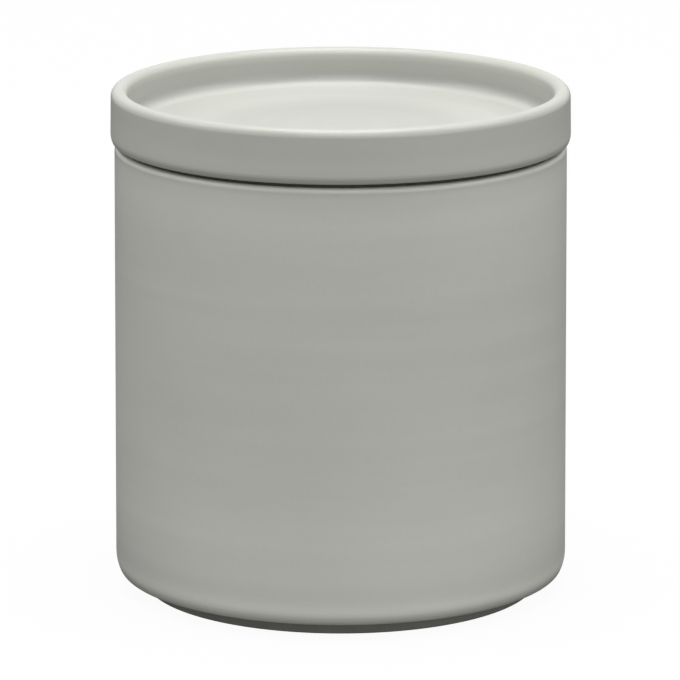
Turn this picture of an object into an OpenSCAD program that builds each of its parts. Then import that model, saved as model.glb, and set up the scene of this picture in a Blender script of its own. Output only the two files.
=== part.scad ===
// Cotton pad holder: a round stoneware jar with a lift-off tray lid.
// Millimetres, +Z up, the origin at the centre of the base on the surface it stands on.
// Every piece is turned about the Z axis from one outline of radius and height.

/* [Jar] */
// Outer diameter of the jar just under its rim
jar_d = 98.3; // [70:0.1:160]
// How much the wall stands out further at the heel than at the rim
jar_flare = 0.4; // [0:0.1:2]
// Height of the rim above the table
jar_h = 98.5; // [50:0.1:220]
// Thickness of the wall
jar_wall = 4; // [3:0.1:8]
// Thickness of the jar's floor
jar_floor_t = 5; // [3:0.1:12]
// Rounding on the outer edge of the rim
rim_outer_r = 1.2; // [0.3:0.1:1.3]
// Rounding on the inner edge of the rim
rim_inner_r = 0.8; // [0.3:0.1:1.2]
// Rounding between the inner wall and the floor
jar_fillet_r = 7; // [2:0.5:14]

/* [Heel] */
// Radius of the wide curve at the foot of the wall
heel_wide_r = 8.5; // [4:0.1:12]
// Angle through which the wide curve turns the wall inwards
heel_turn = 24; // [10:1:40]
// Radius of the tight curve from there to the underside
heel_tight_r = 1.8; // [0.5:0.1:3]

/* [Foot ring] */
// How far the ring's outer face lies inside the wall
foot_inset = 6.5; // [5.5:0.1:12]
// Width of the ring
foot_w = 5; // [3:0.1:12]
// Height at which the ring holds the jar's underside off the table
foot_h = 3.2; // [1.5:0.1:8]
// Depth of the groove that holds the ring
foot_seat = 1.2; // [0.5:0.1:1.8]
// Gap between the ring and each side of its groove
foot_clearance = 0.1; // [0.05:0.05:0.3]
// Rounding on the ring's lower edges
foot_edge_r = 0.4; // [0.2:0.1:0.6]
// Rise of the underside inside the ring
base_recess = 0.5; // [0:0.1:1.5]

/* [Lid] */
// How far the lid's lower edge stands out past the jar's rim
lid_overhang = 0.85; // [0:0.05:3]
// How much the lid's wall leans inwards from its lower edge to its crest
lid_lean = 0.15; // [0:0.05:1]
// Height of the lid from its lower edge to the crest of its lip
lid_h = 11.6; // [10.5:0.1:30]
// Thickness of the lip around the tray
lip_t = 3.5; // [3.5:0.1:8]
// Rounding on the outer edge of the lip
lip_outer_r = 1.8; // [0.5:0.1:1.8]
// Rounding on the inner edge of the lip
lip_inner_r = 1.7; // [0.5:0.1:1.7]
// Depth of the tray below the crest
tray_depth = 8.4; // [5.5:0.1:9]
// Rounding between the lip and the tray's floor
tray_fillet_r = 3.4; // [0.5:0.1:5]
// Radius of the wide curve at the foot of the lid's wall
lid_edge_wide_r = 3.8; // [2:0.1:8]
// Angle through which that curve turns the wall inwards
lid_edge_turn = 25; // [5:1:35]
// Radius of the tight curve from there to the underside
lid_edge_tight_r = 0.4; // [0.2:0.1:1]

/* [Collar under the lid] */
// How far the collar reaches down from the lid's underside
collar_h = 7.5; // [6.5:0.1:20]
// Thickness of the collar
collar_t = 3; // [2:0.1:6]
// How far the bead at the collar's foot stands out to keep the seal on
collar_bead = 0.5; // [0.2:0.1:0.7]
// Rounding on the collar's lower edges
collar_edge_r = 0.7; // [0.3:0.1:0.9]
// Rounding between the collar and the lid's underside
collar_fillet_r = 1.5; // [0.5:0.1:3]

/* [Lid seal] */
// Thickness of the flange that lies between the jar and the lid
seal_flange_t = 0.9; // [0.4:0.1:2]
// How far the flange's edge lies inside the jar's outer wall
seal_inset = 1.3; // [1.3:0.1:2]
// Thickness of the sleeve round the collar
seal_sleeve_t = 0.8; // [0.8:0.1:2]
// Height of the sleeve, with its flange
seal_h = 5.2; // [4.5:0.1:6]
// Number of ribs round the sleeve
rib_count = 3; // [1:1:4]
// How far each rib stands out
rib_out = 0.4; // [0.2:0.1:0.8]
// Height of each rib at its foot
rib_h = 0.7; // [0.4:0.1:0.8]
// Gap between the ribs and the inside of the jar
rib_clearance = 0.3; // [0.2:0.05:0.8]
// Gap between the collar and the sleeve that turns on it
collar_clearance = 0.1; // [0.05:0.05:0.3]

/* [Hidden] */
$fn = 180;
// Straight steps in which a rounding is drawn
arc_steps = 10;
glaze = [0.66, 0.665, 0.635];
silicone = [0.2, 0.2, 0.185];

rim_r = jar_d / 2;
heel_r = rim_r + jar_flare;
bore_r = rim_r - jar_wall;
floor_r = heel_r - jar_wall;
floor_z = foot_h + jar_floor_t;

foot_r = heel_r - foot_inset;
foot_inner_r = foot_r - foot_w;

lid_z = jar_h + seal_flange_t;
lid_r = rim_r + lid_overhang;
crest_z = lid_z + lid_h;
crest_r = lid_r - lid_lean;
tray_r = crest_r - lip_t;
tray_z = crest_z - tray_depth;

sleeve_r = bore_r - rib_clearance - rib_out;
sleeve_inner_r = sleeve_r - seal_sleeve_t;
sleeve_foot_z = lid_z - seal_h;
flange_r = rim_r - seal_inset;
collar_r = sleeve_inner_r - collar_clearance;
collar_inner_r = collar_r - collar_t;
collar_foot_z = lid_z - collar_h;
rib_pitch = (seal_h - seal_flange_t) / (rib_count + 0.5);

// Points on an arc about a centre, turning from one angle to another
function arc(centre, radius, from, to) =
    [for (i = [0:arc_steps])
        let (angle = from + (to - from) * i / arc_steps)
        centre + radius * [cos(angle), sin(angle)]];

// Outline that leaves an underside at base_z and turns up into a wall of radius wall_r:
// a tight curve first, then a wide one that ends upright
function drawn_in_edge(wall_r, base_z, wide_r, turn, tight_r) =
    let (
        between = wide_r - tight_r,
        wide_centre = [wall_r - wide_r, base_z + tight_r + between * sin(turn)],
        tight_centre = wide_centre + between * [cos(turn), -sin(turn)]
    )
    concat(arc(tight_centre, tight_r, -90, -turn), arc(wide_centre, wide_r, -turn, 0));

// Groove in a flat underside, between two radii
function groove(inner_r, outer_r, low_z, inside_z, depth) =
    [[inner_r, inside_z], [inner_r, low_z + depth], [outer_r, low_z + depth], [outer_r, low_z]];

module jar() {
    outline = concat(
        [[0, foot_h + base_recess]],
        groove(foot_inner_r - foot_clearance, foot_r + foot_clearance, foot_h,
               foot_h + base_recess, foot_seat + base_recess),
        drawn_in_edge(heel_r, foot_h, heel_wide_r, heel_turn, heel_tight_r),
        arc([rim_r - rim_outer_r, jar_h - rim_outer_r], rim_outer_r, 0, 90),
        arc([bore_r + rim_inner_r, jar_h - rim_inner_r], rim_inner_r, 90, 180),
        arc([floor_r - jar_fillet_r, floor_z + jar_fillet_r], jar_fillet_r, 0, -90),
        [[0, floor_z]]
    );
    color(glaze) rotate_extrude() polygon(outline);
}

module lid() {
    bead_r = collar_r + collar_bead;
    bead_top_z = sleeve_foot_z - collar_clearance;
    outline = concat(
        [[0, lid_z]],
        arc([collar_inner_r - collar_fillet_r, lid_z - collar_fillet_r], collar_fillet_r, 90, 0),
        arc([collar_inner_r + collar_edge_r, collar_foot_z + collar_edge_r], collar_edge_r, 180, 270),
        arc([bead_r - collar_edge_r, collar_foot_z + collar_edge_r], collar_edge_r, 270, 360),
        [[bead_r, bead_top_z - collar_bead], [collar_r, bead_top_z], [collar_r, lid_z]],
        drawn_in_edge(lid_r, lid_z, lid_edge_wide_r, lid_edge_turn, lid_edge_tight_r),
        arc([crest_r - lip_outer_r, crest_z - lip_outer_r], lip_outer_r, 0, 90),
        arc([tray_r + lip_inner_r, crest_z - lip_inner_r], lip_inner_r, 90, 180),
        arc([tray_r - tray_fillet_r, tray_z + tray_fillet_r], tray_fillet_r, 0, -90),
        [[0, tray_z]]
    );
    color(glaze) rotate_extrude() polygon(outline);
}

module lid_seal() {
    ribs = [for (i = [1:rib_count])
        let (z = jar_h - i * rib_pitch)
        each [[sleeve_r, z + rib_h / 2], [sleeve_r + rib_out, z], [sleeve_r, z - rib_h / 2]]];
    outline = concat(
        [[sleeve_inner_r, lid_z], [flange_r, lid_z], [flange_r, jar_h], [sleeve_r, jar_h]],
        ribs,
        [[sleeve_r, sleeve_foot_z], [sleeve_inner_r, sleeve_foot_z]]
    );
    color(silicone) rotate_extrude() polygon(outline);
}

module foot_ring() {
    outline = concat(
        arc([foot_inner_r + foot_edge_r, foot_edge_r], foot_edge_r, 180, 270),
        arc([foot_r - foot_edge_r, foot_edge_r], foot_edge_r, 270, 360),
        [[foot_r, foot_h + foot_seat + base_recess], [foot_inner_r, foot_h + foot_seat + base_recess]]
    );
    color(silicone) rotate_extrude() polygon(outline);
}

jar();
lid();
lid_seal();
foot_ring();
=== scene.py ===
"""Cotton pad holder: a stoneware jar with a tray lid, the seal under the lid and the foot ring.

Lengths are in metres, +Z points up and the camera looks along +Y. Every piece is an outline of
rounded corners in the plane of radius and height, turned round the Z axis.
"""

import logging
import math
from dataclasses import dataclass
from enum import Enum

import bpy
import numpy as np
from mathutils import Matrix, Vector


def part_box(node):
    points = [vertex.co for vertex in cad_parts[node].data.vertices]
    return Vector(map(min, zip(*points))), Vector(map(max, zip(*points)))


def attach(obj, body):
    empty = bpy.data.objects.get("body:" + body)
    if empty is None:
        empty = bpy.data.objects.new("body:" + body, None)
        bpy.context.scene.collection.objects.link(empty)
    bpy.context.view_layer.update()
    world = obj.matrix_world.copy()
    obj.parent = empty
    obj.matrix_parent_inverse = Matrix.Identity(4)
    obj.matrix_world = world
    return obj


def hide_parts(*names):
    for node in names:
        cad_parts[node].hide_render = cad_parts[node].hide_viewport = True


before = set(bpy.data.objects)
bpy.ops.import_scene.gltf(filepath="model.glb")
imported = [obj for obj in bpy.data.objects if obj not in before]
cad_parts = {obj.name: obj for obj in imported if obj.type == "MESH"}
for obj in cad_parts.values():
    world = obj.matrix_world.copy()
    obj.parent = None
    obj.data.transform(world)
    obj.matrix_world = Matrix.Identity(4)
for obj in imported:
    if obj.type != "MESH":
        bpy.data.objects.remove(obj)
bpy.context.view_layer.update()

MM = 0.001

# Greatest turn between neighbouring points of an arc, in degrees
ARC_STEP_DEG = 6.0
# Least number of steps in which an arc is drawn
LEAST_ARC_STEPS = 3
# Radius that a corner without rounding counts as when its curvature is worked out
SMALLEST_ROUNDING = 0.05 * MM
# Distance under which two points of an outline are one
SAME_POINT = 1e-7
# Radius under which a point lies on the axis
ON_AXIS = 1e-6
# Distance along an outline over which its curvature is averaged
EDGE_REACH = 0.5 * MM
# Rounding that counts as a full edge
EDGE_ROUNDING = 1.6 * MM
# Range in which most of a noise's values lie
NOISE_RANGE = (0.3, 0.7)

Socket = bpy.types.NodeSocket
Colour = tuple[float, float, float, float]
# Distances, each with the share by which the glaze is painted lighter there: painted light and shade
Tones = tuple[tuple[float, float], ...]

log = logging.getLogger("cotton_pad_holder")


class Body(Enum):
    """The moving bodies that a piece can ride on."""

    JAR = "jar"
    SEAL = "seal"
    LID = "lid"


class Slot(Enum):
    """The material slots that a piece can take its finish from."""

    GLAZE = "glaze"
    SILICONE = "silicone"


class Zone(Enum):
    """The values that each point of a turned piece carries for its material."""

    RUN = "run"
    EDGE = "edge"
    BARE = "bare"
    # Painted light and shade, as a share by which the glaze's colour is lighter
    TONE = "tone"


@dataclass(frozen=True)
class Corner:
    """A corner of an outline.

    Attributes:
        r: Distance from the axis.
        z: Height.
        rounding: Radius of the arc that replaces the corner.
    """

    r: float
    z: float
    rounding: float = 0.0


@dataclass(frozen=True)
class Outline:
    """An outline sampled at points, with the solid on its left as it runs.

    Attributes:
        points: Radius and height of each point, shape (n, 2).
        normals: Unit normal of each point, pointing out of the solid, shape (n, 2).
        bend: Signed curvature at each point: positive on an outward edge, negative in a hollow.
        closed: True for a ring, whose last point joins the first.
    """

    points: np.ndarray
    normals: np.ndarray
    bend: np.ndarray
    closed: bool

    @classmethod
    def through(cls, corners: list[Corner], closed: bool, spacing: float = 1.2 * MM) -> "Outline":
        """Joins corners by straight stretches and replaces each corner by a tangent arc.

        An arc of radius q in a turn of angle t starts q * tan(t / 2) before the corner, and its
        centre lies q to the side of that point. The normal is the direction turned right by 90 degrees.

        Args:
            corners: The corners in order, the solid on the left.
            closed: Whether the last corner joins the first.
            spacing: Greatest distance between points on a straight stretch.

        Returns:
            The sampled outline.
        """
        place = np.array([(c.r, c.z) for c in corners])
        count = len(corners)
        pieces = []
        for i, corner in enumerate(corners):
            is_end = not closed and i in (0, count - 1)
            if is_end:
                along = place[1] - place[0] if i == 0 else place[-1] - place[-2]
                pieces.append(cls._point(place[i], along))
            else:
                before = place[i] - place[i - 1]
                after = place[(i + 1) % count] - place[i]
                pieces.append(cls._arc(place[i], before, after, corner.rounding))
        return cls._join(pieces, closed, spacing)

    @staticmethod
    def _point(place: np.ndarray, direction: np.ndarray) -> tuple[np.ndarray, np.ndarray, np.ndarray]:
        """Returns the point, its normal and no bend, for an open outline's end."""
        way = direction / np.hypot(*direction)
        return place[None, :], np.array([[way[1], -way[0]]]), np.zeros(1)

    @staticmethod
    def _arc(
        place: np.ndarray, before: np.ndarray, after: np.ndarray, rounding: float
    ) -> tuple[np.ndarray, np.ndarray, np.ndarray]:
        """Rounds one corner.

        Args:
            place: The corner.
            before: The stretch that leads to it.
            after: The stretch that leaves it.
            rounding: The arc's radius.

        Returns:
            The arc's points, normals and signed curvature.
        """
        way_in = before / np.hypot(*before)
        way_out = after / np.hypot(*after)
        turn = math.atan2(way_in[0] * way_out[1] - way_in[1] * way_out[0], way_in @ way_out)
        side = math.copysign(1.0, turn)
        normal_in = np.array([way_in[1], -way_in[0]])
        centre = place - way_in * rounding * abs(math.tan(turn / 2)) - side * normal_in * rounding
        steps = max(LEAST_ARC_STEPS, math.ceil(abs(math.degrees(turn)) / ARC_STEP_DEG))
        start = math.atan2(normal_in[1], normal_in[0])
        angle = start + turn * np.linspace(0.0, 1.0, steps + 1)
        normals = np.stack([np.cos(angle), np.sin(angle)], axis=1)
        bend = np.full(steps + 1, side / max(rounding, SMALLEST_ROUNDING))
        return centre + side * rounding * normals, normals, bend

    @classmethod
    def _join(
        cls, pieces: list[tuple[np.ndarray, np.ndarray, np.ndarray]], closed: bool, spacing: float
    ) -> "Outline":
        """Puts points on the straight stretches between the arcs.

        Args:
            pieces: Points, normals and bend of each arc or end.
            closed: Whether the last piece joins the first.
            spacing: Greatest distance between points.

        Returns:
            The whole outline.
        """
        points, normals, bend = [], [], []
        followers = pieces[1:] + (pieces[:1] if closed else [])
        for piece, follower in zip(pieces, followers + [None] * (not closed)):
            points.append(piece[0])
            normals.append(piece[1])
            bend.append(piece[2])
            if follower is None:
                continue
            gap = follower[0][0] - piece[0][-1]
            length = np.hypot(*gap)
            steps = math.ceil(length / spacing)
            if steps > 1:
                share = np.arange(1, steps)[:, None] / steps
                points.append(piece[0][-1] + share * gap)
                normals.append(np.repeat([[gap[1], -gap[0]]] / length, steps - 1, axis=0))
                bend.append(np.zeros(steps - 1))
        joined = np.concatenate(points)
        keep = np.hypot(*(joined - np.roll(joined, 1, axis=0)).T) > SAME_POINT
        keep[0] = keep[0] or not closed
        return cls(joined[keep], np.concatenate(normals)[keep], np.concatenate(bend)[keep], closed)

    def run(self) -> np.ndarray:
        """Returns the distance along the outline at each point."""
        step = np.hypot(*np.diff(self.points, axis=0).T)
        return np.concatenate([[0.0], np.cumsum(step)])

    def edge(self, reach: float, scale: float) -> np.ndarray:
        """Says how much each point is an edge or a hollow, from 1 to -1.

        The signed curvature is averaged along the outline with a bell curve and then limited.

        Args:
            reach: Width of the bell curve.
            scale: Radius of curvature that counts as a full edge.

        Returns:
            One value for each point.
        """
        run = self.run()
        weight = np.exp(-0.5 * ((run[:, None] - run[None, :]) / reach) ** 2)
        length = np.gradient(run)
        mean = (weight * length) @ self.bend / (weight @ length)
        return np.clip(mean * scale, -1.0, 1.0)


def smooth_step(value: np.ndarray, low: float, high: float) -> np.ndarray:
    """Rises from 0 at low to 1 at high along the curve 3 t^2 - 2 t^3.

    Args:
        value: Where to evaluate it.
        low: Value at which the rise starts.
        high: Value at which it ends.

    Returns:
        Numbers between 0 and 1.
    """
    share = np.clip((value - low) / (high - low), 0.0, 1.0)
    return share * share * (3.0 - 2.0 * share)


def follow(distance: np.ndarray, tones: Tones) -> np.ndarray:
    """Reads the tone at some distances, on straight lines between the given ones."""
    given, tone = zip(*tones)
    return np.interp(distance, given, tone)


@dataclass(frozen=True)
class Turning:
    """Carries an outline round the Z axis.

    Attributes:
        segments: Number of steps round the axis.
    """

    segments: int = 192

    def mesh(self, name: str, outline: Outline, zones: dict[Zone, np.ndarray]) -> bpy.types.Mesh:
        """Makes the turned surface, with exact normals and its zones as point attributes.

        The point at outline position i and angle a lies at (r_i cos a, r_i sin a, z_i), and its
        normal is the outline's own normal turned by the same angle. A point on the axis is one vertex.

        Args:
            name: Name of the mesh.
            outline: The outline to turn.
            zones: One value for each point of the outline, by zone.

        Returns:
            The mesh.
        """
        angle = 2.0 * np.pi * np.arange(self.segments) / self.segments
        ring = np.stack([np.cos(angle), np.sin(angle)], axis=1)
        on_axis = outline.points[:, 0] < ON_AXIS
        copies = np.where(on_axis, 1, self.segments)
        first = np.concatenate([[0], np.cumsum(copies)])
        position = np.concatenate([self._turned(p, ring, a) for p, a in zip(outline.points, on_axis)])
        normal = np.concatenate([self._turned(n, ring, a) for n, a in zip(outline.normals, on_axis)])
        mesh = bpy.data.meshes.new(name)
        mesh.from_pydata(position.tolist(), [], self._faces(first, on_axis, outline.closed))
        mesh.polygons.foreach_set("use_smooth", np.ones(len(mesh.polygons), dtype=bool))
        for zone, values in zones.items():
            layer = mesh.attributes.new(zone.value, "FLOAT", "POINT")
            layer.data.foreach_set("value", np.repeat(values, copies).astype(np.float32))
        mesh.validate()
        mesh.normals_split_custom_set_from_vertices(normal.tolist())
        mesh.update()
        return mesh

    @staticmethod
    def _turned(pair: np.ndarray, ring: np.ndarray, on_axis: bool) -> np.ndarray:
        """Turns one pair of radius and height into its circle, or into one point on the axis."""
        if on_axis:
            return np.array([[0.0, 0.0, pair[1]]])
        height = np.full((len(ring), 1), pair[1])
        return np.concatenate([ring * pair[0], height], axis=1)

    def _faces(self, first: np.ndarray, on_axis: np.ndarray, closed: bool) -> list[list[int]]:
        """Joins neighbouring circles with quads and closes each pole with triangles.

        Args:
            first: Index of the first vertex of each circle.
            on_axis: Which circles are a single point.
            closed: Whether the last circle joins the first.

        Returns:
            The faces, turned outwards.
        """
        this = np.arange(self.segments)
        following = np.roll(this, -1)
        count = len(on_axis)
        faces = []
        for low in range(count if closed else count - 1):
            high = (low + 1) % count
            a, b = first[low] + this, first[low] + following
            c, d = first[high] + following, first[high] + this
            if on_axis[low]:
                faces += np.stack([np.full_like(c, first[low]), c, d], axis=1).tolist()
            elif on_axis[high]:
                faces += np.stack([a, b, np.full_like(a, first[high])], axis=1).tolist()
            else:
                faces += np.stack([a, b, c, d], axis=1).tolist()
        return faces


class Graph:
    """Builds the node tree of a material or of the surroundings."""

    def __init__(self, owner: bpy.types.Material | bpy.types.World, output: str) -> None:
        """Leaves nothing in the owner's node tree but a new output node.

        Args:
            owner: The material or the surroundings.
            output: Blender's name for the output node.
        """
        self.owner = owner
        self.owner.use_nodes = True
        self.tree = owner.node_tree
        self.tree.nodes.clear()
        self.output = self.tree.nodes.new(output)

    @classmethod
    def of_material(cls, name: str) -> "Graph":
        """Returns the graph of a new material."""
        return cls(bpy.data.materials.new(name), "ShaderNodeOutputMaterial")

    @classmethod
    def of_world(cls, name: str) -> "Graph":
        """Returns the graph of new surroundings."""
        return cls(bpy.data.worlds.new(name), "ShaderNodeOutputWorld")

    def node(self, kind: str, inputs: dict | None = None, **settings) -> bpy.types.Node:
        """Adds a node.

        Args:
            kind: Blender's name for the node.
            inputs: Value or source socket for each input, by name or index.
            **settings: Properties of the node.

        Returns:
            The node.
        """
        made = self.tree.nodes.new(kind)
        for key, value in settings.items():
            setattr(made, key, value)
        for key, value in (inputs or {}).items():
            if isinstance(value, Socket):
                self.tree.links.new(value, made.inputs[key])
            else:
                made.inputs[key].default_value = value
        return made

    def place(self) -> Socket:
        """Returns the Object coordinates."""
        return self.node("ShaderNodeTexCoord").outputs["Object"]

    def zone(self, zone: Zone) -> Socket:
        """Returns the socket that reads a zone of the piece."""
        return self.node("ShaderNodeAttribute", attribute_name=zone.value).outputs["Fac"]

    def math(self, operation: str, *values) -> Socket:
        """Returns the result of a math node on numbers or sockets."""
        return self.node("ShaderNodeMath", dict(enumerate(values)), operation=operation).outputs[0]

    def noise(self, vector: Socket, scale: float, detail: float) -> Socket:
        """Returns noise between 0 and 1 at the given number of features a metre."""
        inputs = {"Vector": vector, "Scale": scale, "Detail": detail}
        return self.node("ShaderNodeTexNoise", inputs).outputs["Fac"]

    def ramp(self, value, low: float, high: float, first, last) -> Socket:
        """Returns a number that goes from first to last while the value goes from low to high."""
        inputs = {"Value": value, "From Min": low, "From Max": high, "To Min": first, "To Max": last}
        return self.node("ShaderNodeMapRange", inputs).outputs["Result"]

    def spread(self, noise: Socket, low: float, high: float) -> Socket:
        """Returns the middle of a noise's range stretched to reach from low to high."""
        return self.ramp(noise, *NOISE_RANGE, low, high)

    def mix(self, factor, first, second) -> Socket:
        """Returns two numbers mixed by a factor."""
        inputs = {0: factor, 2: first, 3: second}
        return self.node("ShaderNodeMix", inputs, data_type="FLOAT").outputs[0]

    def blend(self, factor, first, second, mode: str = "MIX") -> Socket:
        """Returns two colours mixed by a factor."""
        inputs = {0: factor, 6: first, 7: second}
        return self.node("ShaderNodeMix", inputs, data_type="RGBA", blend_type=mode).outputs[2]

    def scaled(self, colour, share: Socket) -> Socket:
        """Returns a colour times a number."""
        plain = self.node("ShaderNodeCombineColor", {0: share, 1: share, 2: share}).outputs[0]
        return self.blend(1.0, colour, plain, "MULTIPLY")

    def around(self, across: float, along: float) -> Socket:
        """Gives coordinates in which a pattern is drawn out round the piece.

        Args:
            across: Scale of the Object coordinates X and Y.
            along: Scale of the distance along the outline.

        Returns:
            The coordinates' socket.
        """
        split = self.node("ShaderNodeSeparateXYZ", {0: self.place()})
        x = self.math("MULTIPLY", split.outputs["X"], across)
        y = self.math("MULTIPLY", split.outputs["Y"], across)
        run = self.math("MULTIPLY", self.zone(Zone.RUN), along)
        return self.node("ShaderNodeCombineXYZ", {"X": x, "Y": y, "Z": run}).outputs[0]

    def bump(self, height: Socket, depth: float) -> Socket:
        """Returns the normal of a relief of the given depth."""
        inputs = {"Height": height, "Strength": 1.0, "Distance": depth}
        return self.node("ShaderNodeBump", inputs).outputs[0]

    def shown(self) -> Socket:
        """Returns 1 for rays from the camera or through glass, and 0 for rays that only light."""
        path = self.node("ShaderNodeLightPath").outputs
        return self.math("MAXIMUM", path["Is Camera Ray"], path["Is Transmission Ray"])

    def finish(self, shader: Socket) -> bpy.types.Material | bpy.types.World:
        """Connects the shader to the output and returns the material or the surroundings."""
        self.tree.links.new(shader, self.output.inputs["Surface"])
        return self.owner


def grey(value: float) -> Colour:
    """Returns a neutral colour of that linear value."""
    return (value, value, value, 1.0)


@dataclass(frozen=True)
class SatinGlaze:
    """A smooth satin glaze on stoneware, thinner on edges and wiped off where the clay is bare.

    Attributes:
        name: Name of the material.
        colour: Linear colour of the glaze.
        warm: Colour towards which broad clouds in the glaze lean.
        thin: Colour on edges, where the clay shows through.
        thin_share: How much of that colour a full edge takes.
        clay: Colour of the bare clay.
        dark_clay: Colour of its darker grains.
        cloud: Strength of the broad clouds.
        cloud_scale: Their number a metre.
        streak: Strength of the faint lines round the piece.
        streak_scale: Scale of the lines round the piece and across it.
        grain: Strength of the finest mottling.
        grain_scale: Number of its grains a metre.
        peel_scale: Number a metre of the soft bumps in the glaze.
        peel_relief: Height of those bumps, as a share of the relief.
        streak_relief: Height of the lines.
        clay_relief: Height of the bare clay's grains.
        relief: Depth of the relief.
        roughness: Roughness of the glaze.
        shine_change: How much the roughness changes with the clouds.
        clay_roughness: Roughness of the bare clay.
        ior: Index of refraction of the glaze.
        wipe: How far the wiped edge of the glaze wanders, as a share of its soft border.
        wipe_edge: Values of the bare zone between which the glaze gives way to clay.
    """

    name: str
    colour: Colour
    warm: Colour
    thin: Colour = (0.56, 0.55, 0.50, 1.0)
    thin_share: float = 0.35
    clay: Colour = (0.42, 0.37, 0.30, 1.0)
    dark_clay: Colour = (0.336, 0.296, 0.24, 1.0)
    cloud: float = 0.02
    cloud_scale: float = 26.0
    streak: float = 0.02
    streak_scale: tuple[float, float] = (9.0, 260.0)
    grain: float = 0.012
    grain_scale: float = 1500.0
    peel_scale: float = 420.0
    peel_relief: float = 0.6
    streak_relief: float = 0.5
    clay_relief: float = 1.5
    relief: float = 0.012 * MM
    roughness: float = 0.33
    shine_change: float = 0.03
    clay_roughness: float = 0.88
    ior: float = 1.55
    wipe: float = 0.175
    wipe_edge: tuple[float, float] = (0.42, 0.58)

    @staticmethod
    def zones(outline: Outline, bare: np.ndarray, tone: np.ndarray) -> dict[Zone, np.ndarray]:
        """Gathers what the glaze has to know at each point of an outline.

        Args:
            outline: The outline.
            bare: 1 where the clay is bare and 0 where it is glazed.
            tone: Share by which the glaze is lighter: painted light and shade.

        Returns:
            The values by zone.
        """
        edge = outline.edge(EDGE_REACH, EDGE_ROUNDING)
        return {Zone.RUN: outline.run(), Zone.EDGE: edge, Zone.BARE: bare, Zone.TONE: tone}

    def material(self) -> bpy.types.Material:
        """Builds the node tree.

        The glaze gives way to clay by the bare zone, whose border wanders with a broad noise. The
        roughness changes with the same noise, and the relief is soft bumps, fine lines and, on the
        clay, grains.

        Returns:
            The material.
        """
        graph = Graph.of_material(self.name)
        cloud = graph.noise(graph.place(), self.cloud_scale, detail=3.0)
        streak = graph.noise(graph.around(*self.streak_scale), 1.0, detail=4.0)
        grain = graph.noise(graph.place(), self.grain_scale, detail=2.0)
        peel = graph.noise(graph.place(), self.peel_scale, detail=1.0)

        border = graph.math("ADD", graph.zone(Zone.BARE), graph.spread(cloud, -self.wipe, self.wipe))
        is_bare = graph.ramp(border, *self.wipe_edge, 0.0, 1.0)
        clay = graph.blend(graph.spread(grain, 0.0, 1.0), self.clay, self.dark_clay)
        colour = graph.blend(is_bare, self._glaze(graph, cloud, streak, grain), clay)
        shine = graph.math("ADD", self.roughness, graph.spread(cloud, -self.shine_change, self.shine_change))

        grains = graph.math("MULTIPLY", graph.math("MULTIPLY", grain, self.clay_relief), is_bare)
        bumps = graph.math("MULTIPLY", peel, self.peel_relief)
        lines = graph.math("MULTIPLY", streak, self.streak_relief)
        relief = graph.math("ADD", graph.math("ADD", bumps, lines), grains)
        shader = graph.node("ShaderNodeBsdfPrincipled", {
            "Base Color": colour,
            "Roughness": graph.mix(is_bare, shine, self.clay_roughness),
            "IOR": self.ior,
            "Normal": graph.bump(relief, self.relief),
        })
        return graph.finish(shader.outputs[0])

    def _glaze(self, graph: Graph, cloud: Socket, streak: Socket, grain: Socket) -> Socket:
        """Colours the glaze.

        It is the glaze's own colour, leaning to the warm one by the broad noise, times one plus the tone
        zone (painted light and shade) and the small noises, and mixed to the thin colour on edges.

        Args:
            graph: The material's graph.
            cloud: The broad noise.
            streak: The lines round the piece.
            grain: The fine noise.

        Returns:
            The colour.
        """
        # The tone zone is painted light and shade on the glaze's colour
        light = graph.math("ADD", 1.0, graph.zone(Zone.TONE))
        for noise, strength in ((cloud, self.cloud), (streak, self.streak), (grain, self.grain)):
            light = graph.math("ADD", light, graph.spread(noise, -strength, strength))
        leaning = graph.blend(graph.spread(cloud, 0.0, 1.0), self.colour, self.warm)
        edge = graph.math("MAXIMUM", graph.zone(Zone.EDGE), 0.0)
        thin = graph.math("MULTIPLY", edge, self.thin_share)
        return graph.blend(thin, graph.scaled(leaning, light), self.thin)


@dataclass(frozen=True)
class DarkSilicone:
    """Matt dark silicone rubber with a fine moulded grain.

    Attributes:
        name: Name of the material.
        colour: Linear colour.
        dusty: Colour of the faint bloom on its surface.
        bloom_scale: Number of the bloom's patches a metre.
        grain_scale: Number of grains a metre.
        relief: Depth of the grain.
        roughness: Roughness of the surface.
        shine_change: How much the roughness changes with the bloom.
        ior: Index of refraction of the silicone.
    """

    name: str
    colour: Colour
    dusty: Colour
    bloom_scale: float = 160.0
    grain_scale: float = 2600.0
    relief: float = 0.02 * MM
    roughness: float = 0.62
    shine_change: float = 0.05
    ior: float = 1.41

    def material(self) -> bpy.types.Material:
        """Builds the node tree: a colour clouded with bloom, and a fine bump.

        Returns:
            The material.
        """
        graph = Graph.of_material(self.name)
        bloom = graph.noise(graph.place(), self.bloom_scale, detail=4.0)
        grain = graph.noise(graph.place(), self.grain_scale, detail=1.0)
        shine = graph.spread(bloom, -self.shine_change, self.shine_change)
        shader = graph.node("ShaderNodeBsdfPrincipled", {
            "Base Color": graph.blend(graph.spread(bloom, 0.0, 1.0), self.colour, self.dusty),
            "Roughness": graph.math("ADD", self.roughness, shine),
            "IOR": self.ior,
            "Normal": graph.bump(grain, self.relief),
        })
        return graph.finish(shader.outputs[0])


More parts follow.
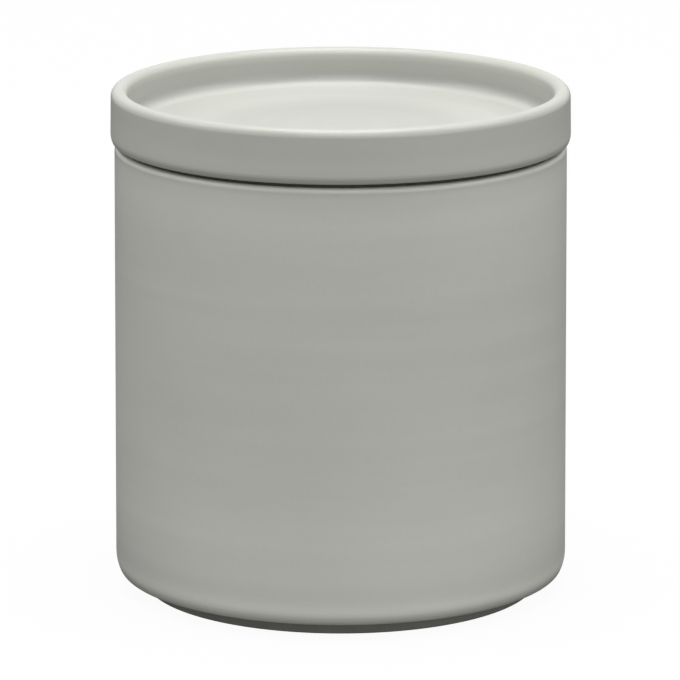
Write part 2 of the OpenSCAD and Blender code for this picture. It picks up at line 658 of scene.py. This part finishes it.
@dataclass(frozen=True)
class Piece:
    """What one visible piece is and what it stands for.

    Attributes:
        name: Name of the piece.
        node: The CAD node that it replaces.
        body: The body that it rides on.
        slot: The material slot that its finish belongs to. Not used.
    """

    name: str
    node: str
    body: Body
    slot: Slot

    def turn(
        self, outline: Outline, material: bpy.types.Material, zones: dict[Zone, np.ndarray] | None = None
    ) -> bpy.types.Object:
        """Turns an outline, dresses it and puts it in the scene as this piece.

        Args:
            outline: The piece's outline.
            material: Its finish.
            zones: What the finish has to know at each point of the outline.

        Returns:
            The object.
        """
        mesh = Turning().mesh(self.name, outline, zones or {})
        mesh.materials.append(material)
        made = bpy.data.objects.new(self.name, mesh)
        bpy.context.scene.collection.objects.link(made)
        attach(made, self.body.value)
        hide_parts(self.node)
        return made


@dataclass(frozen=True)
class Jar:
    """The stoneware jar: wall, drawn-in heel, floor and the groove for its foot ring.

    Attributes:
        flare: How much further the wall stands out at the heel than at the rim.
        wall: Thickness of the wall.
        floor: Thickness of the floor.
        rim_outer: Rounding of the rim's outer edge.
        rim_inner: Rounding of the rim's inner edge.
        fillet: Rounding between the inner wall and the floor.
        heel_wide: Radius of the wide curve at the foot of the wall.
        heel_turn: Angle of that curve in degrees.
        heel_tight: Radius of the tight curve below it.
        recess: Rise of the underside inside the foot ring.
        groove_side: Gap beside the foot ring in its groove.
        soft_edge: Rounding of the groove's edges.
        wiped_rise: Rise from the underside over which the glaze begins.
        wiped_inside: Distances inside the foot ring between which the glaze ends.
        heel_painted_shade: Painted shade on the heel's tight curve, a painted highlight band just above it,
            then faint painted light and shade, by rise over the underside.
        rim_painted_shade: Painted shade just under the lid's edge and faint painted light lower down, by
            drop under the rim.
    """

    piece = Piece("jar_stoneware", "jar", Body.JAR, Slot.GLAZE)
    flare: float = 0.4 * MM
    wall: float = 4.0 * MM
    floor: float = 5.0 * MM
    rim_outer: float = 1.2 * MM
    rim_inner: float = 0.8 * MM
    fillet: float = 7.0 * MM
    heel_wide: float = 8.5 * MM
    heel_turn: float = 24.0
    heel_tight: float = 1.8 * MM
    recess: float = 0.5 * MM
    groove_side: float = 0.1 * MM
    soft_edge: float = 0.15 * MM
    wiped_rise: float = 0.8 * MM
    wiped_inside: tuple[float, float] = (2.5 * MM, 1.5 * MM)
    # Painted shade on the heel's tight curve, a painted highlight band just above it, faint painted light
    # and shade higher up
    heel_painted_shade: Tones = (
        (0.5 * MM, -0.34),
        (0.9 * MM, -0.33),
        (1.4 * MM, -0.26),
        (1.8 * MM, -0.13),
        (2.2 * MM, 0.0),
        (2.65 * MM, 0.12),
        (3.5 * MM, 0.13),
        (4.4 * MM, -0.02),
        (5.4 * MM, -0.08),
        (6.6 * MM, -0.09),
        (9.0 * MM, -0.055),
        (13.0 * MM, -0.01),
        (17.0 * MM, 0.02),
        (22.0 * MM, 0.02),
        (30.0 * MM, 0.0),
    )
    # Painted shade on the rim just under the lid's edge, faint painted light lower down
    rim_painted_shade: Tones = (
        (0.0 * MM, -0.08),
        (1.3 * MM, -0.08),
        (2.2 * MM, 0.03),
        (8.0 * MM, 0.05),
        (24.0 * MM, 0.0),
    )

    def outline(self) -> Outline:
        """Runs from the middle of the underside, up the wall, over the rim and down to the floor.

        Returns:
            The jar's outline.
        """
        low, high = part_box("jar")
        ring_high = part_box("foot_ring")[1]
        heel_r, base_z, rim_z = high.x, low.z, high.z
        rim_r = heel_r - self.flare
        floor_z = base_z + self.floor
        groove_outer = ring_high.x + self.groove_side
        groove_inner = ring_high.x - FootRing.width - self.groove_side
        return Outline.through([
            Corner(0.0, base_z + self.recess),
            Corner(groove_inner, base_z + self.recess, self.soft_edge),
            Corner(groove_inner, ring_high.z, self.soft_edge),
            Corner(groove_outer, ring_high.z, self.soft_edge),
            Corner(groove_outer, base_z, self.soft_edge),
            *drawn_in(heel_r, base_z, self.heel_wide, self.heel_turn, self.heel_tight),
            Corner(rim_r, rim_z, self.rim_outer),
            Corner(rim_r - self.wall, rim_z, self.rim_inner),
            Corner(heel_r - self.wall, floor_z, self.fillet),
            Corner(0.0, floor_z),
        ], closed=False)

    def build(self, finish: SatinGlaze) -> bpy.types.Object:
        """Turns the jar and dresses it.

        Args:
            finish: The glaze.

        Returns:
            The piece.
        """
        outline = self.outline()
        zones = finish.zones(outline, self._bare(*outline.points.T), self._painted_light(*outline.points.T))
        return self.piece.turn(outline, finish.material(), zones)

    def _bare(self, radius: np.ndarray, height: np.ndarray) -> np.ndarray:
        """Says where the jar stood in the kiln: on its underside, but not in the middle of it.

        Args:
            radius: Radius of each point of the outline.
            height: Height of each point.

        Returns:
            1 where the clay is bare and 0 where it is glazed.
        """
        base_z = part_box("jar")[0].z
        ring_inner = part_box("foot_ring")[1].x - FootRing.width
        far, near = self.wiped_inside
        underside = 1.0 - smooth_step(height, base_z, base_z + self.wiped_rise)
        return underside * smooth_step(radius, ring_inner - far, ring_inner - near)

    def _painted_light(self, radius: np.ndarray, height: np.ndarray) -> np.ndarray:
        """Gives the painted light and shade on the outside, at the heel and at the rim.

        Args:
            radius: Radius of each point of the outline.
            height: Height of each point.

        Returns:
            Share by which the glaze is painted lighter at each point.
        """
        low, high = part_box("jar")
        is_outside = radius > high.x - self.wall / 2
        tone = follow(height - low.z, self.heel_painted_shade) + follow(high.z - height, self.rim_painted_shade)
        return is_outside * tone


def drawn_in(wall_r: float, base_z: float, wide: float, turn: float, tight: float) -> list[Corner]:
    """Gives the two corners whose arcs draw a wall in towards its underside.

    The wide arc turns the wall by the angle and the tight one turns it on to the flat. Each arc
    reaches radius * tan(half its turn) from its corner, and the two arcs meet.

    Args:
        wall_r: Radius of the wall.
        base_z: Height of the underside.
        wide: Radius of the wide arc.
        turn: Its angle in degrees.
        tight: Radius of the tight arc.

    Returns:
        The lower corner and the upper one.
    """
    angle = math.radians(turn)
    between = wide * math.tan(angle / 2) + tight * math.tan((math.pi / 2 - angle) / 2)
    lower_r = wall_r - between * math.sin(angle)
    upper_z = base_z + between * math.cos(angle)
    return [Corner(lower_r, base_z, tight), Corner(wall_r, upper_z, wide)]


@dataclass(frozen=True)
class Lid:
    """The stoneware lid: plate, lip round the tray, and the collar under it.

    Attributes:
        lean: How much the wall leans inwards up to the crest.
        lip: Thickness of the lip.
        lip_outer: Rounding of the lip's outer edge.
        lip_inner: Rounding of the lip's inner edge.
        tray: Depth of the tray.
        tray_fillet: Rounding between the lip and the tray's floor.
        edge_wide: Radius of the wide curve at the foot of the wall.
        edge_turn: Angle of that curve in degrees.
        edge_tight: Radius of the tight curve below it.
        collar: Thickness of the collar.
        bead: How far the bead at its foot stands out.
        collar_edge: Rounding of the collar's lower edges.
        collar_fillet: Rounding between the collar and the plate.
        running_gap: Gap between the collar and the seal that it turns in.
        soft_edge: Rounding of the corners round the seal.
        wiped_foot: Rises over the collar's foot between which the glaze begins.
        wall_painted_shade: Painted light and shade outside by rise over the plate's underside: painted shade
            on the lower edge, painted light above it, painted shade on the crest's outer rounding.
        tray_painted_shade: Painted light and shade in the tray by rise over its floor: a painted highlight
            on the floor and low on the fillet, then painted shade higher on the fillet and on the tray's
            wall.
        painted_highlight_edge: Radii between which the painted highlight on the tray's floor fades in.
    """

    piece = Piece("lid_stoneware", "lid", Body.LID, Slot.GLAZE)
    lean: float = 0.15 * MM
    lip: float = 3.5 * MM
    lip_outer: float = 1.8 * MM
    lip_inner: float = 1.7 * MM
    tray: float = 8.4 * MM
    tray_fillet: float = 3.4 * MM
    edge_wide: float = 3.8 * MM
    edge_turn: float = 25.0
    edge_tight: float = 0.4 * MM
    collar: float = 3.0 * MM
    bead: float = 0.5 * MM
    collar_edge: float = 0.7 * MM
    collar_fillet: float = 1.5 * MM
    running_gap: float = 0.1 * MM
    soft_edge: float = 0.1 * MM
    wiped_foot: tuple[float, float] = (0.2 * MM, 0.8 * MM)
    # Painted shade on the lid's lower edge, painted light above it, painted shade on the crest's outer
    # rounding
    wall_painted_shade: Tones = (
        (0.0 * MM, -0.12),
        (0.3 * MM, -0.16),
        (0.7 * MM, -0.34),
        (1.15 * MM, -0.02),
        (2.0 * MM, 0.08),
        (3.3 * MM, 0.11),
        (5.4 * MM, 0.05),
        (9.5 * MM, 0.04),
        (10.1 * MM, 0.01),
        (10.5 * MM, -0.12),
        (10.9 * MM, -0.09),
        (11.4 * MM, 0.0),
    )
    # Painted highlight on the tray's floor and low fillet, painted shade higher up and on the tray's wall
    tray_painted_shade: Tones = (
        (0.0 * MM, 0.13),
        (0.2 * MM, 0.2),
        (0.5 * MM, 0.15),
        (0.75 * MM, 0.05),
        (1.2 * MM, -0.16),
        (1.8 * MM, -0.27),
        (2.5 * MM, -0.28),
        (3.4 * MM, -0.2),
        (6.0 * MM, -0.17),
        (7.8 * MM, 0.0),
    )
    # The painted highlight on the tray's floor fades in between these radii
    painted_highlight_edge: tuple[float, float] = (22.0 * MM, 33.0 * MM)

    def outline(self) -> Outline:
        """Runs from the middle of the plate's underside, round the collar, up the wall and into the tray.

        Returns:
            The lid's outline.
        """
        low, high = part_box("lid")
        seal_low, seal_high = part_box("lid_seal")
        wall_r, crest_z, foot_z, plate_z = high.x, high.z, low.z, seal_high.z
        crest_r = wall_r - self.lean
        collar_r = LidSeal.bore() - self.running_gap
        collar_inner = collar_r - self.collar
        bead_r = collar_r + self.bead
        bead_z = seal_low.z - self.running_gap
        tray_r = crest_r - self.lip
        return Outline.through([
            Corner(0.0, plate_z),
            Corner(collar_inner, plate_z, self.collar_fillet),
            Corner(collar_inner, foot_z, self.collar_edge),
            Corner(bead_r, foot_z, self.collar_edge),
            Corner(bead_r, bead_z - self.bead, self.soft_edge),
            Corner(collar_r, bead_z, self.soft_edge),
            Corner(collar_r, plate_z, self.soft_edge),
            *drawn_in(wall_r, plate_z, self.edge_wide, self.edge_turn, self.edge_tight),
            Corner(crest_r, crest_z, self.lip_outer),
            Corner(tray_r, crest_z, self.lip_inner),
            Corner(tray_r, crest_z - self.tray, self.tray_fillet),
            Corner(0.0, crest_z - self.tray),
        ], closed=False)

    def build(self, finish: SatinGlaze) -> bpy.types.Object:
        """Turns the lid and dresses it, with bare clay where its collar stood in the kiln.

        Args:
            finish: The glaze.

        Returns:
            The piece.
        """
        outline = self.outline()
        radius, height = outline.points.T
        glaze_low, glaze_high = self.wiped_foot
        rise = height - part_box("lid")[0].z
        bare = 1.0 - smooth_step(rise, glaze_low, glaze_high)
        zones = finish.zones(outline, bare, self._painted_light(radius, height))
        return self.piece.turn(outline, finish.material(), zones)

    def _painted_light(self, radius: np.ndarray, height: np.ndarray) -> np.ndarray:
        """Gives the painted light and shade, outside on the wall and inside in the tray.

        Args:
            radius: Radius of each point of the outline.
            height: Height of each point.

        Returns:
            Share by which the glaze is painted lighter at each point.
        """
        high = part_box("lid")[1]
        plate_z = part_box("lid_seal")[1].z
        floor_z = high.z - self.tray
        is_outside = radius > high.x - self.lip / 2
        is_tray = ~is_outside & (height > (plate_z + floor_z) / 2)
        tray = smooth_step(radius, *self.painted_highlight_edge) * follow(height - floor_z, self.tray_painted_shade)
        return is_outside * follow(height - plate_z, self.wall_painted_shade) + is_tray * tray


@dataclass(frozen=True)
class LidSeal:
    """The silicone seal: a flange between jar and lid, and a ribbed sleeve round the collar.

    Attributes:
        sleeve: Thickness of the sleeve.
        flange: Thickness of the flange.
        ribs: Number of ribs.
        rib_height: Height of a rib at its foot.
        rib_out: How far a rib stands out.
        rib_clearance: Gap between the ribs and the inside of the jar.
        soft_edge: Rounding of the flange's edge.
        rib_edge: Rounding of each rib's crest.
    """

    piece = Piece("lid_seal_silicone", "lid_seal", Body.SEAL, Slot.SILICONE)
    sleeve: float = 0.8 * MM
    flange: float = 0.9 * MM
    ribs: int = 3
    rib_height: float = 0.7 * MM
    rib_out: float = 0.4 * MM
    rib_clearance: float = 0.3 * MM
    soft_edge: float = 0.2 * MM
    rib_edge: float = 0.1 * MM

    @classmethod
    def bore(cls) -> float:
        """Returns the radius of the hole in the sleeve."""
        jar_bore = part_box("jar")[1].x - Jar.flare - Jar.wall
        return jar_bore - cls.rib_clearance - cls.rib_out - cls.sleeve

    def outline(self) -> Outline:
        """Runs round the seal's section: along the flange, down the ribs and up the bore.

        Returns:
            The seal's outline.
        """
        low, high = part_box("lid_seal")
        bore = self.bore()
        sleeve_r = bore + self.sleeve
        rim_z = high.z - self.flange
        pitch = (rim_z - low.z) / (self.ribs + 0.5)
        ribs = []
        for crown in rim_z - pitch * np.arange(self.ribs, 0, -1):
            ribs += [
                Corner(sleeve_r, crown - self.rib_height / 2, self.rib_edge),
                Corner(sleeve_r + self.rib_out, crown, self.rib_edge),
                Corner(sleeve_r, crown + self.rib_height / 2, self.rib_edge),
            ]
        return Outline.through([
            Corner(bore, low.z, self.soft_edge),
            Corner(sleeve_r, low.z, self.soft_edge),
            *ribs,
            Corner(sleeve_r, rim_z, self.rib_edge),
            Corner(high.x, rim_z, self.soft_edge),
            Corner(high.x, high.z, self.soft_edge),
            Corner(bore, high.z, self.rib_edge),
        ], closed=True)

    def build(self, finish: DarkSilicone) -> bpy.types.Object:
        """Turns the seal, dresses it and returns the piece."""
        return self.piece.turn(self.outline(), finish.material())


@dataclass(frozen=True)
class FootRing:
    """The silicone ring that the jar stands on, with two fine grip lines in its tread.

    Attributes:
        width: Width of the ring.
        edge: Rounding of its lower edges.
        top_edge: Rounding of its upper edges.
        grips: Number of grip lines.
        grip_width: Width of a grip line.
        grip_depth: Depth of a grip line.
        grip_edge: Rounding of a grip line's edges.
    """

    piece = Piece("foot_ring_silicone", "foot_ring", Body.JAR, Slot.SILICONE)
    width: float = 5.0 * MM
    edge: float = 0.4 * MM
    top_edge: float = 0.1 * MM
    grips: int = 2
    grip_width: float = 0.5 * MM
    grip_depth: float = 0.3 * MM
    grip_edge: float = 0.1 * MM

    def outline(self) -> Outline:
        """Runs round the ring's section: along the tread, up outside and back inside.

        Returns:
            The ring's outline.
        """
        low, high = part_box("foot_ring")
        inner = high.x - self.width
        pitch = self.width / (self.grips + 1)
        half = self.grip_width / 2
        tread = []
        for i in range(1, self.grips + 1):
            middle = inner + i * pitch
            tread += [
                Corner(middle - half, low.z, self.grip_edge),
                Corner(middle - half, low.z + self.grip_depth, self.grip_edge),
                Corner(middle + half, low.z + self.grip_depth, self.grip_edge),
                Corner(middle + half, low.z, self.grip_edge),
            ]
        return Outline.through([
            Corner(inner, low.z, self.edge),
            *tread,
            Corner(high.x, low.z, self.edge),
            Corner(high.x, high.z, self.top_edge),
            Corner(inner, high.z, self.top_edge),
        ], closed=True)

    def build(self, finish: DarkSilicone) -> bpy.types.Object:
        """Turns the ring, dresses it and returns the piece."""
        return self.piece.turn(self.outline(), finish.material())


@dataclass(frozen=True)
class Softbox:
    """A square lamp that faces a point.

    Attributes:
        name: Name of the lamp.
        place: Where its middle is.
        target: The point that it faces.
        side: Length of its side.
        brightness: Its radiance. Under a whole sky of 1, a surface shows its own colour.
    """

    name: str
    place: tuple[float, float, float]
    target: tuple[float, float, float]
    side: float
    brightness: float

    def build(self) -> None:
        """Makes the lamp: a square of side s and radiance b gives off pi * s^2 * b."""
        data = bpy.data.lights.new(self.name, "AREA")
        data.shape = "SQUARE"
        data.size = self.side
        data.energy = math.pi * self.side**2 * self.brightness
        made = bpy.data.objects.new(self.name, data)
        made.matrix_world = looking(self.place, self.target)
        made.visible_camera = False
        bpy.context.scene.collection.objects.link(made)


def looking(place: tuple[float, float, float], target: tuple[float, float, float]) -> Matrix:
    """Gives the matrix of an object at a place whose -Z axis points at a target.

    Args:
        place: Where the object is.
        target: The point that it looks at.

    Returns:
        The matrix.
    """
    way = Vector(target) - Vector(place)
    turned = way.to_track_quat("-Z", "Y").to_matrix().to_4x4()
    turned.translation = Vector(place)
    return turned


@dataclass(frozen=True)
class Viewpoint:
    """The camera: at the front, looking down on the object from a distance.

    Attributes:
        distance: How far in front of the axis it stands.
        height: Its height over the table.
        pitch: How far it looks down, in degrees.
        focal_px: Its focal length in pixels of the picture.
        picture_px: Width of the picture in pixels.
        axis_px: Column of the picture in which the object's axis stands.
        sensor: Width of the sensor in millimetres.
        nearest: Distance at which the camera begins to see.
    """

    distance: float = 1.228
    height: float = 0.3432
    pitch: float = 13.229
    focal_px: float = 5757.1
    picture_px: float = 680.0
    axis_px: float = 340.7
    sensor: float = 36.0
    nearest: float = 0.05

    def build(self) -> None:
        """Makes the camera and uses it."""
        data = bpy.data.cameras.new("camera")
        data.sensor_width = self.sensor
        data.lens = self.focal_px / self.picture_px * self.sensor
        data.clip_start = self.nearest
        made = bpy.data.objects.new("camera", data)
        sideways = (self.picture_px / 2 - self.axis_px) / self.focal_px * self.distance
        made.location = (sideways, -self.distance, self.height)
        made.rotation_euler = (math.radians(90.0 - self.pitch), 0.0, 0.0)
        bpy.context.scene.collection.objects.link(made)
        bpy.context.scene.camera = made


@dataclass(frozen=True)
class Studio:
    """A white table in soft light, with a painted pool of light close to the object's front.

    Attributes:
        floor_size: Length of the table's side.
        near_painted_light: Linear grey of the table close to the object's front, as it lights the object: a
            painted pool of light.
        far_shade: The same elsewhere.
        near_reach: Distances from the axis between which the one fades into the other.
        front_reach: The same for directions, as Y over the distance: -1 is straight ahead.
        glow: Part of the table's brightness before the camera that no shadow takes away.
        shown_shade: Linear grey of the table before the camera, on top of its glow.
        sky: Radiance of the surroundings.
        lamps: The softboxes.
    """

    floor_size: float = 8.0
    # Painted pool of light on the table close to the object's front
    near_painted_light: float = 0.36
    far_shade: float = 0.12
    near_reach: tuple[float, float] = (0.07, 0.105)
    front_reach: tuple[float, float] = (-0.9, -0.3)
    glow: float = 0.95
    shown_shade: float = 0.035
    sky: float = 0.75
    lamps: tuple[Softbox, ...] = (
        Softbox("top_softbox", (0.0, 0.1, 1.3), (0.0, 0.0, 0.1), 0.8, 3.7),
        Softbox("front_softbox", (0.0, -1.0, 1.2), (0.0, 0.0, 0.06), 0.8, 1.8),
        Softbox("high_front_softbox", (0.0, -0.6, 1.35), (0.0, 0.0, 0.06), 0.8, 0.4),
        Softbox("right_softbox", (1.1, 0.0, 1.2), (0.0, 0.0, 0.06), 0.8, 1.8),
        Softbox("left_softbox", (-1.1, 0.0, 1.2), (0.0, 0.0, 0.06), 0.8, 1.72),
        Softbox("low_right_softbox", (1.05, -1.05, 0.55), (0.0, 0.0, 0.06), 0.8, 0.75),
    )

    def build(self) -> None:
        """Makes the table, the surroundings and the lamps."""
        self._floor()
        self._sky()
        for lamp in self.lamps:
            lamp.build()

    def _floor(self) -> None:
        """Makes the table: plain diffuse to light, and near white with a soft shadow to the eye."""
        half = self.floor_size / 2
        corners = [(-half, -half, 0), (half, -half, 0), (half, half, 0), (-half, half, 0)]
        mesh = bpy.data.meshes.new("table_top")
        mesh.from_pydata(corners, [], [(0, 1, 2, 3)])
        graph = Graph.of_material("table_top")
        plain = graph.node("ShaderNodeBsdfDiffuse", {"Color": self._lit_shade(graph)}).outputs[0]
        shaded = graph.node("ShaderNodeBsdfDiffuse", {"Color": grey(self.shown_shade)}).outputs[0]
        glow = graph.node("ShaderNodeEmission", {"Color": grey(1.0), "Strength": self.glow}).outputs[0]
        shown = graph.node("ShaderNodeAddShader", {0: shaded, 1: glow}).outputs[0]
        mixed = graph.node("ShaderNodeMixShader", {0: graph.shown(), 1: plain, 2: shown}).outputs[0]
        mesh.materials.append(graph.finish(mixed))
        floor = bpy.data.objects.new("table_top", mesh)
        bpy.context.scene.collection.objects.link(floor)

    def _lit_shade(self, graph: Graph) -> Socket:
        """Gives the grey with which the table lights the object: higher close to its front, a painted pool
        of light.

        Args:
            graph: The table's graph.

        Returns:
            The grey.
        """
        place = graph.place()
        away = graph.node("ShaderNodeVectorMath", {0: place}, operation="LENGTH").outputs["Value"]
        close = graph.ramp(away, *self.near_reach, self.near_painted_light, self.far_shade)
        towards = graph.math("DIVIDE", graph.node("ShaderNodeSeparateXYZ", {0: place}).outputs["Y"], away)
        front = graph.ramp(towards, *self.front_reach, 1.0, 0.0)
        return graph.mix(front, self.far_shade, close)

    def _sky(self) -> None:
        """Makes the surroundings: even light on the object, and white to the eye."""
        graph = Graph.of_world("studio")
        lit = graph.node("ShaderNodeBackground", {"Color": grey(1.0), "Strength": self.sky}).outputs[0]
        white = graph.node("ShaderNodeBackground", {"Color": grey(1.0)}).outputs[0]
        mixed = graph.node("ShaderNodeMixShader", {0: graph.shown(), 1: lit, 2: white}).outputs[0]
        bpy.context.scene.world = graph.finish(mixed)


def main() -> None:
    """Builds the camera, the studio and the pieces in order, and reports each piece."""
    logging.basicConfig(level=logging.INFO, format="%(message)s")
    bpy.context.scene.view_settings.view_transform = "Standard"
    Viewpoint().build()
    Studio().build()
    jar_glaze = SatinGlaze("jar_glaze", colour=(0.557, 0.567, 0.524, 1.0), warm=(0.562, 0.567, 0.518, 1.0))
    lid_glaze = SatinGlaze("lid_glaze", colour=(0.466, 0.475, 0.438, 1.0), warm=(0.47, 0.474, 0.433, 1.0))
    foot_silicone = DarkSilicone(
        "foot_silicone", colour=(0.225, 0.229, 0.199, 1.0), dusty=(0.265, 0.269, 0.238, 1.0)
    )
    seal_silicone = DarkSilicone(
        "seal_silicone", colour=(0.07, 0.071, 0.062, 1.0), dusty=(0.09, 0.091, 0.08, 1.0)
    )
    built = [
        Jar().build(jar_glaze),
        FootRing().build(foot_silicone),
        LidSeal().build(seal_silicone),
        Lid().build(lid_glaze),
    ]
    for made in built:
        log.info("%s: %d faces", made.name, len(made.data.polygons))


if __name__ == "__main__":
    main()
